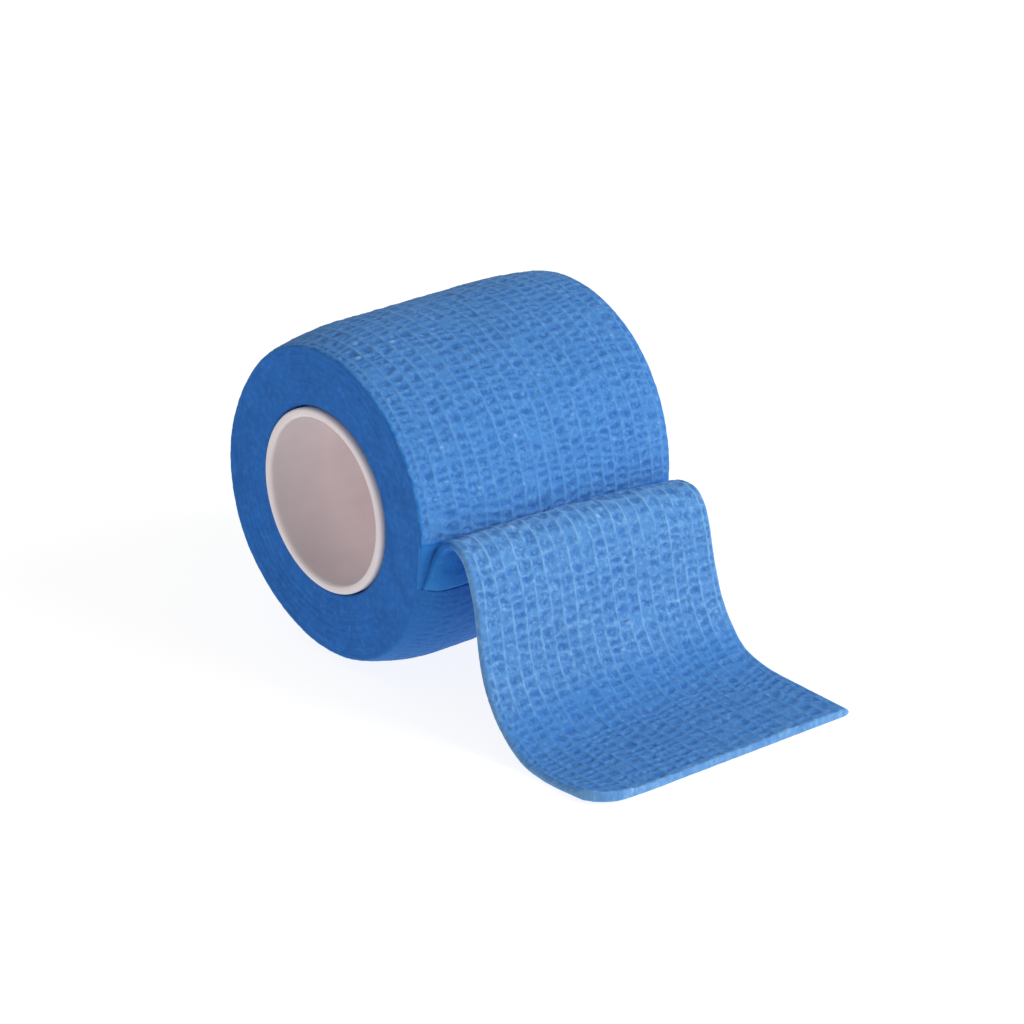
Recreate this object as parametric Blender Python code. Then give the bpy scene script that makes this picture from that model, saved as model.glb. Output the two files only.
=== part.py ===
"""A roll of crinkled, self-adhering cloth tape on a hollow core tube, with its loose end let down.

The roll's axis lies along Y, the loose end leaves it towards +X, and Z is up. The origin is the middle
of the small flat spot that the roll rests on, under its axis. Sizes below are in millimetres.
"""

import math
from typing import NamedTuple

import bmesh
import bpy
import numpy as np

MM = 0.001

TAPE_WIDTH = 50.0
SHEET_THICKNESS = 1.3
AXIS_HEIGHT = 26.85
CLEARANCE = 0.3

CORE_OUTER_RADIUS = 15.0
CORE_WALL = 1.4
CORE_PROUD = 0.1
CORE_RIM_ROUND = 0.35
CORE_STEPS = 72
CORE_RIM_STEPS = 3

# The wound tape's outer turn stops at this angle above +X, where the loose end takes over.
STEP_ANGLE = -14.0
OUTLINE_POINTS = 110
SHOULDER_START = 13.0
SHOULDER_STATIONS = 4
RIM_ROUND = 0.4
FACE_DISH = 0.5

COLUMNS = 16
ROWS_PER_STATION = 5
NEAR_CORNER_RADIUS = 6.0
NEAR_CORNER_LIFT = 0.6
NEAR_CORNER_SHARE = 0.25
SHARP_ANGLE = 40.0

TAPE_BLUE = (0.078, 0.258, 0.638, 1.0)
CORE_CREAM = (0.68, 0.58, 0.60, 1.0)


class OutlinePoint(NamedTuple):
    """The wound form's outline: how far round from the step, its radius, and how far its rims draw in."""

    turn: float
    radius: float
    near_drop: float
    far_drop: float


OUTLINE = (
    OutlinePoint(turn=0, radius=27.40, near_drop=1.5, far_drop=1.3),
    OutlinePoint(turn=44, radius=27.85, near_drop=1.9, far_drop=1.6),
    OutlinePoint(turn=76, radius=27.20, near_drop=1.7, far_drop=1.3),
    OutlinePoint(turn=106, radius=26.50, near_drop=1.3, far_drop=1.1),
    OutlinePoint(turn=136, radius=26.55, near_drop=1.2, far_drop=1.0),
    OutlinePoint(turn=166, radius=26.05, near_drop=1.3, far_drop=0.9),
    OutlinePoint(turn=196, radius=25.90, near_drop=1.8, far_drop=0.9),
    OutlinePoint(turn=230, radius=26.50, near_drop=1.5, far_drop=0.9),
    OutlinePoint(turn=271, radius=26.60, near_drop=1.0, far_drop=0.9),
    OutlinePoint(turn=301, radius=26.45, near_drop=0.9, far_drop=0.9),
    OutlinePoint(turn=326, radius=26.05, near_drop=0.8, far_drop=0.9),
    OutlinePoint(turn=360, radius=25.85, near_drop=0.8, far_drop=0.9),
)


class Station(NamedTuple):
    """One place along the loose end's underside, at its near and far edges.

    x is the reach from the roll's axis, z the height above the surface and y the edge's place along
    the axis. bow says how far the middle stands above a straight line from edge to edge.
    """

    near_x: float
    near_z: float
    far_x: float
    far_z: float
    near_y: float
    far_y: float
    bow: float


LOOSE_END = (
    Station(near_x=26.80, near_z=20.55, far_x=26.80, far_z=20.55, near_y=-22.4, far_y=23.6, bow=0.0),
    Station(near_x=27.60, near_z=25.30, far_x=27.50, far_z=23.10, near_y=-22.4, far_y=23.6, bow=0.5),
    Station(near_x=27.85, near_z=27.10, far_x=27.80, far_z=24.45, near_y=-22.4, far_y=23.7, bow=0.8),
    Station(near_x=29.20, near_z=28.15, far_x=29.40, far_z=25.70, near_y=-22.4, far_y=23.8, bow=0.8),
    Station(near_x=31.30, near_z=27.25, far_x=31.40, far_z=25.55, near_y=-22.5, far_y=23.9, bow=0.6),
    Station(near_x=32.80, near_z=25.00, far_x=32.80, far_z=24.10, near_y=-22.6, far_y=24.0, bow=0.3),
    Station(near_x=34.20, near_z=21.80, far_x=34.00, far_z=21.10, near_y=-22.8, far_y=24.0, bow=0.0),
    Station(near_x=35.40, near_z=17.60, far_x=34.80, far_z=17.00, near_y=-23.1, far_y=24.1, bow=0.0),
    Station(near_x=36.80, near_z=13.00, far_x=35.60, far_z=13.20, near_y=-23.6, far_y=24.4, bow=0.0),
    Station(near_x=38.60, near_z=9.40, far_x=36.60, far_z=9.50, near_y=-24.1, far_y=24.7, bow=0.0),
    Station(near_x=41.50, near_z=5.60, far_x=38.80, far_z=5.50, near_y=-24.5, far_y=24.9, bow=0.0),
    Station(near_x=45.60, near_z=2.20, far_x=43.00, far_z=1.70, near_y=-24.8, far_y=25.0, bow=0.0),
    Station(near_x=49.80, near_z=0.45, far_x=47.90, far_z=0.30, near_y=-25.0, far_y=25.0, bow=0.0),
    Station(near_x=53.50, near_z=0.00, far_x=51.50, far_z=0.00, near_y=-25.0, far_y=25.0, bow=0.0),
    Station(near_x=65.90, near_z=0.00, far_x=65.90, far_z=0.00, near_y=-25.0, far_y=25.0, bow=0.0),
)


class SmoothTable:
    """Rows of numbers joined by one smooth curve that passes through each of them."""

    def __init__(self, knots, rows):
        self.knots = np.asarray(knots, float)
        self.rows = np.asarray(rows, float)
        gaps = np.diff(self.knots)[:, None]
        slopes = np.diff(self.rows, axis=0) / gaps
        inner = (slopes[:-1] * gaps[1:] + slopes[1:] * gaps[:-1]) / (gaps[:-1] + gaps[1:])
        self.slopes = np.vstack([slopes[:1], inner, slopes[-1:]])

    def at(self, knot):
        """The row of numbers at this knot value."""
        i = int(np.clip(np.searchsorted(self.knots, knot) - 1, 0, len(self.knots) - 2))
        gap = self.knots[i + 1] - self.knots[i]
        t = (knot - self.knots[i]) / gap
        return (
            (1 + 2 * t) * (1 - t) ** 2 * self.rows[i]
            + t * (1 - t) ** 2 * gap * self.slopes[i]
            + t * t * (3 - 2 * t) * self.rows[i + 1]
            + t * t * (t - 1) * gap * self.slopes[i + 1]
        )


def clear_scene():
    """Removes what the scene holds at the start."""
    for old in list(bpy.data.objects):
        bpy.data.objects.remove(old, do_unlink=True)


def finish_material(name, color, roughness):
    """A Principled material of one colour."""
    material = bpy.data.materials.new(name)
    material.use_nodes = True
    shader = material.node_tree.nodes["Principled BSDF"]
    shader.inputs["Base Color"].default_value = color
    shader.inputs["Roughness"].default_value = roughness
    shader.inputs["Metallic"].default_value = 0.0
    return material


def add_object(name, bm, material):
    """Puts a bmesh into the scene as one smooth-shaded object."""
    mesh = bpy.data.meshes.new(name)
    bm.to_mesh(mesh)
    bm.free()
    mesh.shade_smooth()
    mesh.set_sharp_from_angle(angle=math.radians(SHARP_ANGLE))
    mesh.materials.append(material)
    made = bpy.data.objects.new(name, mesh)
    bpy.context.scene.collection.objects.link(made)
    return made


def make_core_tube(material):
    """The core: an open tube with softly rounded rims, turned about the roll's axis."""
    half_length = TAPE_WIDTH / 2 + CORE_PROUD
    inner_radius = CORE_OUTER_RADIUS - CORE_WALL
    corners = (
        (CORE_OUTER_RADIUS, half_length, 0),
        (inner_radius, half_length, 90),
        (inner_radius, -half_length, 180),
        (CORE_OUTER_RADIUS, -half_length, 270),
    )
    bm = bmesh.new()
    profile = []
    for radius, y, start in corners:
        centre_radius = radius + math.copysign(CORE_RIM_ROUND, inner_radius + CORE_WALL / 2 - radius)
        centre_y = y - math.copysign(CORE_RIM_ROUND, y)
        for i in range(CORE_RIM_STEPS + 1):
            angle = math.radians(start + 90 * i / CORE_RIM_STEPS)
            x = centre_radius + CORE_RIM_ROUND * math.cos(angle)
            along = centre_y + CORE_RIM_ROUND * math.sin(angle)
            profile.append(bm.verts.new((x * MM, along * MM, AXIS_HEIGHT * MM)))
    edges = [bm.edges.new((a, b)) for a, b in zip(profile, profile[1:] + profile[:1])]
    bmesh.ops.spin(
        bm,
        geom=profile + edges,
        cent=(0, 0, AXIS_HEIGHT * MM),
        axis=(0, 1, 0),
        angle=math.tau,
        steps=CORE_STEPS,
        use_merge=True,
    )
    bmesh.ops.recalc_face_normals(bm, faces=bm.faces)
    return add_object("core_tube", bm, material)


def outline_loop(bm, table, y, fraction, rim_inset):
    """One closed loop of the wound form's outline, at y along the axis.

    fraction says how much of the rim's drop applies there, and rim_inset takes off the rounded rim.
    The part of the loop that would reach below the surface is flat on it.
    """
    loop = []
    for i in range(OUTLINE_POINTS):
        turn = 360 * i / (OUTLINE_POINTS - 1)
        radius, near_drop, far_drop = table.at(turn)
        drop = near_drop if y < 0 else far_drop
        r = radius - drop * fraction - rim_inset
        angle = math.radians(STEP_ANGLE - turn)
        z = max(AXIS_HEIGHT + r * math.sin(angle), 0.0)
        loop.append(bm.verts.new((r * math.cos(angle) * MM, y * MM, z * MM)))
    return close_loop(bm, loop)


def hole_loop(bm, y):
    """The edge of the wound form's hole, a clearance outside the core tube."""
    radius = CORE_OUTER_RADIUS + CLEARANCE
    loop = []
    for i in range(OUTLINE_POINTS):
        angle = math.radians(STEP_ANGLE - 360 * i / OUTLINE_POINTS)
        z = AXIS_HEIGHT + radius * math.sin(angle)
        loop.append(bm.verts.new((radius * math.cos(angle) * MM, y * MM, z * MM)))
    return close_loop(bm, loop)


def close_loop(bm, loop):
    """The edges that join a ring of points."""
    return [bm.edges.new((a, b)) for a, b in zip(loop, loop[1:] + loop[:1])]


def shoulder_stations():
    """(distance from the middle, share of the rim's drop, inset) from the barrel out to one rim."""
    half = TAPE_WIDTH / 2
    span = half - RIM_ROUND - SHOULDER_START
    stations = [(SHOULDER_START, 0.0, 0.0)]
    for i in range(1, SHOULDER_STATIONS + 1):
        share = i / SHOULDER_STATIONS
        stations.append((SHOULDER_START + span * share, share**2, 0.0))
    stations.append((half, 1.0, RIM_ROUND))
    return stations


def make_wound_tape(material):
    """The wound tape as one solid: a spiral outline with slack in its outer turn and a flat spot."""
    table = SmoothTable([p.turn for p in OUTLINE], [p[1:] for p in OUTLINE])
    side = shoulder_stations()
    face_y = TAPE_WIDTH / 2 - FACE_DISH
    bm = bmesh.new()
    loops = [hole_loop(bm, -face_y)]
    loops += [outline_loop(bm, table, -y, share, inset) for y, share, inset in reversed(side)]
    loops += [outline_loop(bm, table, y, share, inset) for y, share, inset in side]
    loops += [hole_loop(bm, face_y)]
    for first, second in zip(loops, loops[1:] + loops[:1]):
        bmesh.ops.bridge_loops(bm, edges=first + second)
    bmesh.ops.recalc_face_normals(bm, faces=bm.faces)
    return add_object("wound_tape", bm, material)


def loose_end_knots():
    """Where each station lies along the loose end, measured along its middle line."""
    knots = [0.0]
    middles = [((s.near_x + s.far_x) / 2, (s.near_z + s.far_z) / 2) for s in LOOSE_END]
    for a, b in zip(middles, middles[1:]):
        knots.append(knots[-1] + math.dist(a, b))
    return knots


def corner_setback(inset):
    """How far the rounded near corner stays short of the cut end, at this distance from its edge."""
    if inset >= NEAR_CORNER_RADIUS:
        return 0.0
    return NEAR_CORNER_RADIUS - math.sqrt(NEAR_CORNER_RADIUS**2 - (NEAR_CORNER_RADIUS - inset) ** 2)


def make_loose_end(material):
    """The loose end: its underside as a grid laid along the stations, then given its thickness."""
    knots = loose_end_knots()
    table = SmoothTable(knots, LOOSE_END)
    places = []
    for a, b in zip(knots, knots[1:]):
        places += [a + (b - a) * i / ROWS_PER_STATION for i in range(ROWS_PER_STATION)]
    places.append(knots[-1])
    last_run = knots[-1] - knots[-2]
    bm = bmesh.new()
    grid = bmesh.ops.create_grid(bm, x_segments=len(places) - 1, y_segments=COLUMNS, size=1.0)
    for vert in grid["verts"]:
        row = round((vert.co.x + 1) / 2 * (len(places) - 1))
        across = 0.5 - 0.5 * math.cos(math.pi * (vert.co.y + 1) / 2)
        setback = corner_setback(across * TAPE_WIDTH)
        beyond = max(places[row] - knots[-2], 0.0)
        place = places[row] - setback * beyond / last_run
        near_x, near_z, far_x, far_z, near_y, far_y, bow = table.at(place)
        lift = NEAR_CORNER_LIFT * (beyond / last_run) ** 2 * max(1 - across / NEAR_CORNER_SHARE, 0.0) ** 2
        x = near_x + (far_x - near_x) * across
        y = near_y + (far_y - near_y) * across
        z = near_z + (far_z - near_z) * across + 4 * bow * across * (1 - across)
        vert.co = (x * MM, y * MM, (max(z, 0.0) + lift) * MM)
    made = add_object("loose_end", bm, material)
    thicken = made.modifiers.new("thickness", "SOLIDIFY")
    thicken.thickness = SHEET_THICKNESS * MM
    thicken.offset = 1.0
    thicken.use_even_offset = True
    return made


def main():
    """Builds the roll's three pieces."""
    clear_scene()
    tape = finish_material("tape_blue", TAPE_BLUE, roughness=0.9)
    core = finish_material("core_cream", CORE_CREAM, roughness=0.6)
    make_core_tube(core)
    make_wound_tape(tape)
    make_loose_end(tape)


main()
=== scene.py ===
"""Dresses a roll of crinkled, self-adhering cloth tape with its loose end let down.

The roll's axis lies along Y, the loose end leaves it towards +X, and Z is up. Sizes in the tables and
in the classes are millimetres, and the meshes are metres.
"""

import logging
import math
from dataclasses import dataclass, field
from enum import Enum
from typing import NamedTuple

import bmesh
import bpy
import numpy as np
from mathutils import Matrix, Vector


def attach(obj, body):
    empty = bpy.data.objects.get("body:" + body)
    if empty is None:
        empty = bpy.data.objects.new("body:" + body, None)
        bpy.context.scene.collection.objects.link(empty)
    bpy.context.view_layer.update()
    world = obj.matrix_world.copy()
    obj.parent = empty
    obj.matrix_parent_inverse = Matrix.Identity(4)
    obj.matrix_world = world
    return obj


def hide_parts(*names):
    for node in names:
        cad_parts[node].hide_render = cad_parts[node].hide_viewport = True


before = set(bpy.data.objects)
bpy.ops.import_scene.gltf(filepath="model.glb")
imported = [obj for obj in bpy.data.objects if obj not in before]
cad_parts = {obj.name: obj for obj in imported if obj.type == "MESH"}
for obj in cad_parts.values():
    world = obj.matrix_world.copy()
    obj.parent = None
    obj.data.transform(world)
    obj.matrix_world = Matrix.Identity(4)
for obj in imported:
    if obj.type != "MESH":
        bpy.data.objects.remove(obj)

Array = np.ndarray
Color = Point = tuple[float, float, float]
Finish = bpy.types.Material
Piece = bpy.types.Object
Socket = bpy.types.NodeSocket

MM = 0.001
LAY_SCALE = 0.01
MERGE_DISTANCE = 0.002
LOG = logging.getLogger("tape_roll")

TAPE_WIDTH = 50.0
HALF_WIDTH = TAPE_WIDTH / 2
SHEET_THICKNESS = 1.3
AXIS_HEIGHT = 26.85
HOLE_RADIUS = 15.3
STEP_ANGLE = -14.0
ARC_PER_TURN = 166.0
SHOULDER_START = 13.0
SHOULDER_END = 24.6
SHOULDER_POWER = 2
STEP_POWER = 5
SHEEN_TINT = (0.62, 0.80, 1.0)

# The patterns of chance are read this far along the tape, and this far round a rim for each degree.
PATTERN_SHIFT = 400
RIM_ARC = 0.463


class OutlinePoint(NamedTuple):
    """The wound form's outline: how far round from the step, its radius, and how far its rims draw in."""

    turn: float
    radius: float
    near_drop: float
    far_drop: float


# At the step the rims draw in until they meet the turn below, so that the step fades out there.
OUTLINE = tuple(OutlinePoint(*row) for row in (
    (0, 27.40, 2.35, 2.45),
    (44, 27.85, 2.0, 1.7),
    (76, 27.20, 1.7, 1.3),
    (106, 26.50, 1.3, 1.1),
    (136, 26.55, 1.2, 1.0),
    (166, 26.05, 1.3, 0.9),
    (196, 25.90, 1.8, 0.9),
    (230, 26.22, 1.4, 0.9),
    (271, 26.45, 1.0, 0.9),
    (301, 26.45, 0.9, 0.9),
    (326, 26.05, 0.8, 0.9),
    (360, 25.85, 0.8, 0.9),
))


class Station(NamedTuple):
    """One place along the loose end's underside, at its near and far edges.

    x is the reach from the roll's axis, z the height above the surface and y the edge's place along
    the axis. bow says how far the middle stands above a straight line from edge to edge.
    """

    near_x: float
    near_z: float
    far_x: float
    far_z: float
    near_y: float
    far_y: float
    bow: float


# The first place lies inside the outer turn, which the loose end runs on from.
LOOSE_END = tuple(Station(*row) for row in (
    (25.50, 19.20, 25.50, 19.20, -24.9, 24.9, 0.0),
    (26.60, 20.55, 26.60, 20.55, -24.7, 24.8, 0.0),
    (26.75, 25.30, 26.85, 23.10, -23.6, 24.2, 0.5),
    (27.05, 27.10, 27.25, 24.45, -22.8, 23.8, 0.8),
    (29.20, 28.15, 29.40, 25.70, -22.4, 23.8, 0.8),
    (31.30, 27.25, 31.40, 25.55, -22.5, 24.2, 0.6),
    (32.80, 25.00, 32.90, 24.10, -22.6, 24.4, 0.3),
    (34.20, 21.80, 34.15, 21.10, -22.8, 24.4, 0.0),
    (35.40, 17.60, 35.00, 17.00, -23.1, 24.5, 0.0),
    (36.80, 13.00, 35.80, 13.20, -23.6, 24.7, 0.0),
    (38.60, 9.40, 36.85, 9.50, -24.1, 24.9, 0.0),
    (41.50, 5.60, 39.10, 5.50, -24.5, 25.0, 0.0),
    (45.60, 2.20, 43.00, 1.70, -24.8, 25.0, 0.0),
    (49.80, 0.45, 47.90, 0.30, -25.0, 25.0, 0.0),
    (53.50, 0.00, 51.50, 0.00, -25.0, 25.0, 0.0),
    (65.60, 0.00, 66.90, 0.00, -25.0, 25.0, 0.0),
))


class RollEnd(Enum):
    """Which end of the roll a piece is on, as its direction along Y."""

    NEAR = -1
    FAR = 1


class ClothSide(Enum):
    """Which side of the cloth a row of crinkles is on, as the seed of its chance values."""

    OUTER = 11
    INNER = 47
    UNDER = 83


class SmoothTable:
    """Rows of numbers joined by one smooth curve that passes through each of them."""

    def __init__(self, knots: Array, rows: Array) -> None:
        """Keeps the rows and works out the curve's slope at each.

        Args:
            knots: Where each row lies, in rising order.
            rows: One row of numbers a knot.
        """
        self.knots = np.asarray(knots, float)
        self.rows = np.asarray(rows, float)
        gaps = np.diff(self.knots)[:, None]
        slopes = np.diff(self.rows, axis=0) / gaps
        inner = (slopes[:-1] * gaps[1:] + slopes[1:] * gaps[:-1]) / (gaps[:-1] + gaps[1:])
        self.slopes = np.vstack([slopes[:1], inner, slopes[-1:]])

    def at(self, knot: Array) -> Array:
        """Reads the curve.

        Args:
            knot: Places along it, an array of any shape.

        Returns:
            The numbers there, in one more axis at the end.
        """
        knot = np.asarray(knot, float)
        i = np.clip(np.searchsorted(self.knots, knot) - 1, 0, len(self.knots) - 2)
        gap = (self.knots[i + 1] - self.knots[i])[..., None]
        t = (knot - self.knots[i])[..., None] / gap
        return (
            (1 + 2 * t) * (1 - t) ** 2 * self.rows[i]
            + t * (1 - t) ** 2 * gap * self.slopes[i]
            + t * t * (3 - 2 * t) * self.rows[i + 1]
            + t * t * (t - 1) * gap * self.slopes[i + 1]
        )


def drift(at: Array, spacing: float, seed: int) -> Array:
    """A smooth curve of seeded chance.

    Args:
        at: Places along it, in mm.
        spacing: How far apart its turns are, in mm.
        seed: Picks the curve.

    Returns:
        Values from -1 to 1.
    """
    values = np.random.default_rng(seed).uniform(-1, 1, 1024)
    place = np.asarray(at, float) / spacing + 500
    low = np.floor(place).astype(int)
    t = place - low
    t = t * t * (3 - 2 * t)
    return values[low % 1024] * (1 - t) + values[(low + 1) % 1024] * t


def lumps(along: Array, across: Array, spacing: float, seed: int) -> Array:
    """A smooth surface of seeded chance.

    Args:
        along: Places in one direction, in mm.
        across: Places in the other, in mm.
        spacing: How far apart its lumps are, in mm.
        seed: Picks the surface.

    Returns:
        Values from -1 to 1.
    """
    values = np.random.default_rng(seed).uniform(-1, 1, (256, 256))
    u, v = np.broadcast_arrays(np.asarray(along, float) / spacing, np.asarray(across, float) / spacing)
    i, j = np.floor(u).astype(int), np.floor(v).astype(int)
    s, t = u - i, v - j
    s, t = s * s * (3 - 2 * s), t * t * (3 - 2 * t)
    low = values[i % 256, j % 256] * (1 - s) + values[(i + 1) % 256, j % 256] * s
    high = values[i % 256, (j + 1) % 256] * (1 - s) + values[(i + 1) % 256, (j + 1) % 256] * s
    return low * (1 - t) + high * t


class Layer(NamedTuple):
    """One layer of a surface of chance: its strength, how far apart its lumps are in mm, and its seed."""

    amount: float
    spacing: float
    seed: int


def layered(along: Array, across: Array, layers: tuple[Layer, ...], seed: int, start: float = 0.0) -> Array:
    """Adds layers of chance to a start value. The seed is added to each layer's own."""
    return sum((n.amount * lumps(along, across, n.spacing, seed + n.seed) for n in layers), start=start)


def shoulder(y: Array) -> Array:
    """How far each place along the axis is down the roll's soft shoulder, from 0 to 1."""
    return np.clip((np.abs(y) - SHOULDER_START) / (SHOULDER_END - SHOULDER_START), 0, 1)


def put_in_scene(name: str, data: bpy.types.ID) -> Piece:
    """Makes an object and links it into the scene.

    Args:
        name: Its name.
        data: Its mesh, lamp or camera.

    Returns:
        The object.
    """
    made = bpy.data.objects.new(name, data)
    bpy.context.scene.collection.objects.link(made)
    return made


@dataclass(frozen=True)
class Relief:
    """What the weave is like at some points of the cloth.

    height is in mm above the plain cloth. thread, recess and fleck run from 0 to 1.
    """

    height: Array
    thread: Array
    recess: Array
    fleck: Array


@dataclass(frozen=True)
class CrinkledWeave:
    """The tape's cloth: lengthwise stretch threads with crinkled rungs between them, in mm."""

    threads: int = 19
    thread_pitch: float = 2.6
    first_thread: float = 1.6
    edge_round: float = 0.55
    thread_rise: float = 0.10
    thread_half_width: float = 0.24
    sway: float = 0.24
    shared_sway: float = 0.16
    rung_pitch: float = 1.60
    rung_pitch_spread: float = 0.50
    rung_jitter: float = 0.25
    rung_slip: float = 0.45
    rung_slant: float = 0.3
    pattern_start: float = -200.0
    pattern_length: float = 340.0
    depth_span: tuple[float, float] = (0.65, 1.0)
    flat_share: float = 0.05
    flat_depth: float = 0.15
    crest_span: tuple[float, float] = (0.05, 0.80)
    crest_width: float = 0.55
    hollow_start: float = 0.42
    hollow_rise: float = 0.58
    hollow_power: float = 0.75
    margin_depth: float = 0.75
    recess_depth: float = 0.34
    unevenness: float = 0.06
    calm_edge: float = 3.5
    calm_least: float = 0.25
    fleck_area: float = 26.0
    fleck_rise: float = 0.10
    fleck_start: float = -180.0
    fleck_end: float = 80.0
    wander: tuple[Layer, ...] = (Layer(1.0, 10.0, 560), Layer(0.45, 2.6, 561), Layer(0.34, 0.65, 603))
    patches: tuple[Layer, ...] = (Layer(0.14, 6.0, 604), Layer(0.25, 0.8, 605))
    patch_middle: float = 0.88
    swells: tuple[Layer, ...] = (Layer(1.0, 5.5, 600), Layer(0.5, 1.7, 601))
    fuzz: tuple[Layer, ...] = (Layer(0.035, 0.45, 602),)
    shares: tuple[float, ...] = (0.0, 0.09, 0.22, 0.40, 0.60, 0.78, 0.91)
    margin_shares: tuple[float, ...] = (0.0, 0.3, 0.6, 0.85)

    def lines(self) -> list[tuple[int, float]]:
        """Lists the lengthwise lines of points from the near edge to the far one.

        Returns:
            (gap, share) for each: the gap between two threads that it is in, and how far across it.
        """
        last = self.threads - 1
        found = [(-1, share) for share in self.margin_shares]
        found += [(gap, share) for gap in range(last) for share in self.shares]
        return found + [(last, 0.0)] + [(last, 1 - share) for share in reversed(self.margin_shares)]

    def thread_at(self, thread: int, along: Array) -> Array:
        """Where a thread lies.

        Args:
            thread: Its number from the near edge. -1 and the number of threads stand for the edges.
            along: Places along the tape, in mm.

        Returns:
            Its distance from the near edge at each place, in mm.
        """
        if thread < 0:
            return np.full_like(along, self.edge_round)
        if thread >= self.threads:
            return np.full_like(along, TAPE_WIDTH - self.edge_round)
        middle = self.first_thread + self.thread_pitch * thread
        own = self.sway * drift(along, 6.5, 300 + thread)
        fine = 0.08 * drift(along, 1.1, 340 + thread)
        return middle + own + fine + self.shared_sway * drift(along, 17.0, 299)

    def across_at(self, gap: int, share: float, along: Array) -> Array:
        """How far a line of points is from the near edge, in mm."""
        return self.thread_at(gap, along) * (1 - share) + self.thread_at(gap + 1, along) * share

    def thread_show(self, thread: int, along: Array) -> Array:
        """How plainly a thread stands out along its run, from 0 to 1. The cloth's edges have none."""
        slow, quick = drift(along, 5.0, 400 + thread), drift(along, 0.8, 440 + thread)
        return np.clip(0.58 + 0.32 * slow + 0.38 * quick, 0, 1) * (0 <= thread < self.threads)

    def rungs(self, gap: int, side: ClothSide) -> tuple[Array, Array, Array, Array]:
        """The rungs in one gap between two threads. A side's gaps share them but for a little jitter.

        Args:
            gap: Which gap.
            side: Which side of the cloth.

        Returns:
            Where each rung starts, how deep its hollow is, how bright its crest is and how it slants.
        """
        count = int(self.pattern_length / self.rung_pitch)
        shared = np.random.default_rng(side.value)
        steps = shared.uniform(-self.rung_pitch_spread, self.rung_pitch_spread, count) + self.rung_pitch
        chance = np.random.default_rng(side.value * 1000 + gap + 1)
        jitter = chance.uniform(-self.rung_jitter, self.rung_jitter, count)
        depths = chance.uniform(*self.depth_span, count)
        depths[chance.random(count) < self.flat_share] = self.flat_depth
        crests = chance.uniform(*self.crest_span, count)
        slants = chance.uniform(-1, 1, count)
        return self.pattern_start + np.cumsum(steps) + jitter, depths, crests, slants

    def relief(self, gap: int, share: float, along: Array, side: ClothSide) -> Relief:
        """Works out the weave along one line of points.

        Args:
            gap: The gap between two threads that it is in.
            share: How far across the gap.
            along: Places along the tape, in mm.
            side: Which side of the cloth, because the crinkles differ.

        Returns:
            The relief at each place.
        """
        across = self.across_at(gap, share, along)
        starts, depths, crests, slants = self.rungs(gap, side)
        spots = (along + PATTERN_SHIFT, across)
        slip = self.rung_slip * drift(along, 9.0, side.value + 500 + gap)
        place = along + layered(*spots, self.wander, side.value) + slip
        cell = np.clip(np.searchsorted(starts, place) - 1, 0, len(starts) - 2)
        place = place + self.rung_slant * slants[cell] * (share - 0.5)
        phase = np.clip((place - starts[cell]) / (starts[cell + 1] - starts[cell]), 0, 1)
        rise = np.sin(math.pi * phase)
        thread = crests[cell + (phase > 0.5)] * np.clip(1 - rise / self.crest_width, 0, 1)
        for beside in (gap, gap + 1):
            off = (across - self.thread_at(beside, along)) / self.thread_half_width
            thread = np.maximum(thread, np.exp(-(off**2)) * self.thread_show(beside, along))
        hollow = np.clip((rise - self.hollow_start) / self.hollow_rise, 0, 1)
        patchy = layered(*spots, self.patches, side.value, start=self.patch_middle)
        recess = depths[cell] * hollow * patchy * math.sin(math.pi * share) ** self.hollow_power
        if gap in (-1, self.threads - 1):
            recess = recess * self.margin_depth
        calm = np.clip(np.minimum(across, TAPE_WIDTH - across) / self.calm_edge, self.calm_least, 1)
        uneven = self.unevenness * calm * layered(*spots, self.swells, side.value)
        fuzz = layered(*spots, self.fuzz, side.value)
        fleck = self.flecks(along, across, side)
        height = self.thread_rise * thread - self.recess_depth * recess + uneven + fuzz
        return Relief(height + self.fleck_rise * fleck, thread, recess, fleck)

    def flecks(self, along: Array, across: Array, side: ClothSide) -> Array:
        """Where the small pale knots of fibre are.

        Args:
            along: Places along the tape, in mm.
            across: Places across it, in mm.
            side: Which side of the cloth.

        Returns:
            How much of a knot there is at each place, from 0 to 1.
        """
        chance = np.random.default_rng(side.value + 700)
        count = int((self.fleck_end - self.fleck_start) * TAPE_WIDTH / self.fleck_area)
        lengthwise = chance.uniform(self.fleck_start, self.fleck_end, count)
        crosswise = chance.uniform(1, TAPE_WIDTH - 1, count)
        size = chance.uniform(0.16, 0.34, count)
        shine = 0.9 * chance.uniform(0.2, 1.0, count) ** 2.0
        wide = chance.uniform(0.7, 1.7, count)
        u = (along[:, None] - lengthwise) / size
        v = (across[:, None] - crosswise) / (size * wide)
        return (np.exp(-(u**2) - v**2) * shine).max(axis=1)


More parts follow.
